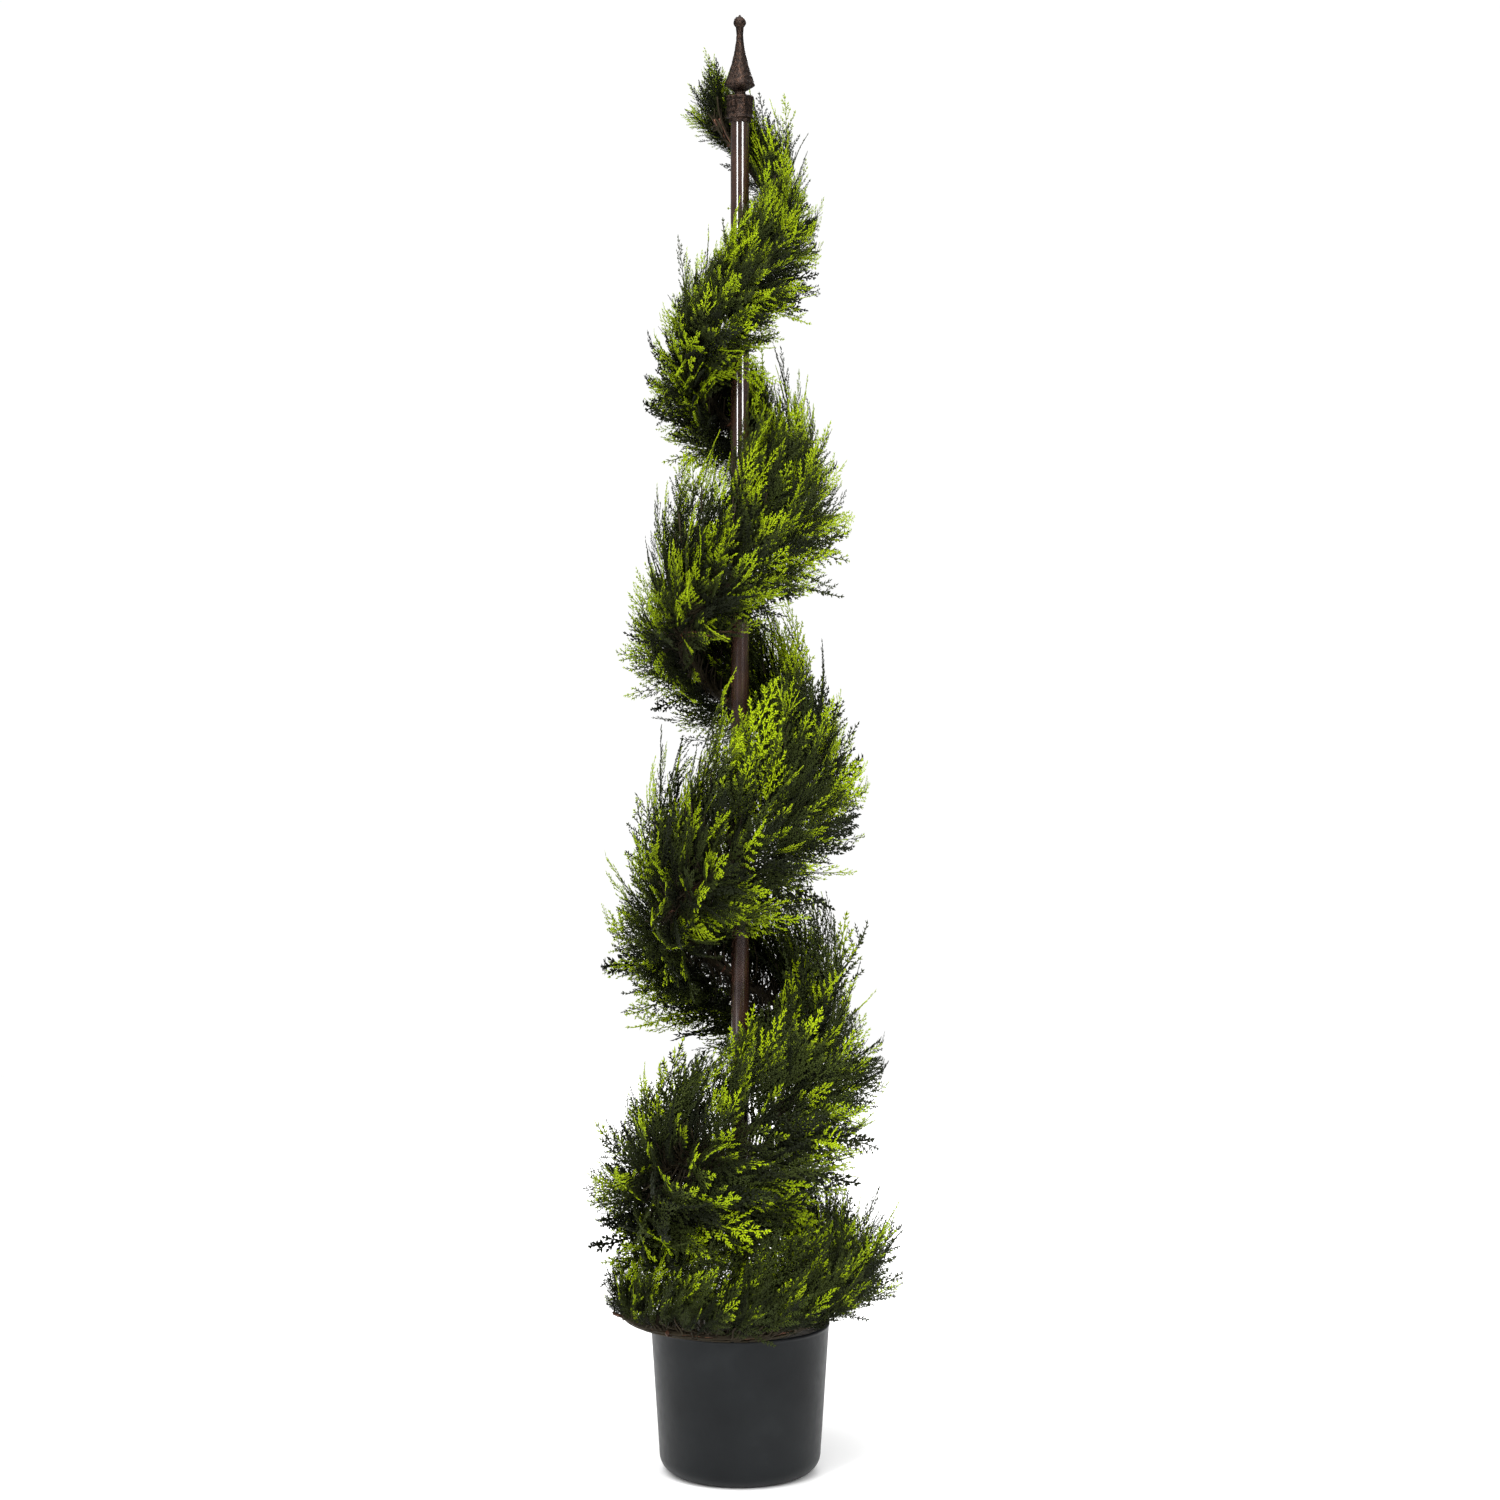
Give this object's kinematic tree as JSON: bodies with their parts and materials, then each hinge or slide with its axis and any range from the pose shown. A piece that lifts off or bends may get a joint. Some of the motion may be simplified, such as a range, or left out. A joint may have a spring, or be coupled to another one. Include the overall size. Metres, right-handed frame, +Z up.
{
  "type": "spiral cypress topiary",
  "caption": "Artificial cypress spiral bound to wire rails round a brown steel pole with a spear finial, standing in a cement-filled dark nursery pot.",
  "frame": {"origin": "centre of the pot's flat underside, on the pole's axis", "axes": "+Z up along the pole, -Y towards the front, where the spiral starts on the pot's rim"},
  "size_m": [0.3354, 0.3256, 1.524],
  "materials": {
    "pot_plastic": "satin",
    "cement": "matte",
    "brown_gloss_steel": "gloss",
    "brown_cast_iron": "satin",
    "brown_wire": "satin",
    "cypress_green": "matte"
  },
  "bodies": {
    "stand": {"pot_shell": "pot_plastic", "cement_fill": "cement", "pole_tube": "brown_gloss_steel", "pole_foot_plate": "brown_gloss_steel", "outer_rail": "brown_wire", "inner_rail": "brown_wire", "arm_1": "brown_wire", "arm_2": "brown_wire", "arm_3": "brown_wire", "arm_4": "brown_wire", "arm_5": "brown_wire", "arm_6": "brown_wire", "arm_7": "brown_wire", "arm_8": "brown_wire", "arm_9": "brown_wire", "tie_1": "brown_wire", "tie_2": "brown_wire", "tie_3": "brown_wire", "tie_4": "brown_wire", "tie_5": "brown_wire", "tie_6": "brown_wire", "tie_7": "brown_wire", "tie_8": "brown_wire", "tie_9": "brown_wire", "tie_10": "brown_wire", "tie_11": "brown_wire", "tie_12": "brown_wire", "bough_1": "cypress_green", "bough_2": "cypress_green", "bough_3": "cypress_green", "bough_4": "cypress_green", "bough_5": "cypress_green", "bough_6": "cypress_green", "bough_7": "cypress_green", "bough_8": "cypress_green", "bough_9": "cypress_green", "bough_10": "cypress_green", "bough_11": "cypress_green", "bough_12": "cypress_green", "bough_13": "cypress_green", "bough_14": "cypress_green", "bough_15": "cypress_green", "bough_16": "cypress_green", "bough_17": "cypress_green", "bough_18": "cypress_green", "bough_19": "cypress_green", "bough_20": "cypress_green"},
    "finial": {"finial_cap": "brown_cast_iron", "finial_spear": "brown_cast_iron"}
  },
  "joints": [
    {"name": "finial_lift", "type": "slide", "parent": "stand", "child": "finial", "axis": [0, 0, 1], "range_m": [0, 0.03]}
  ]
}
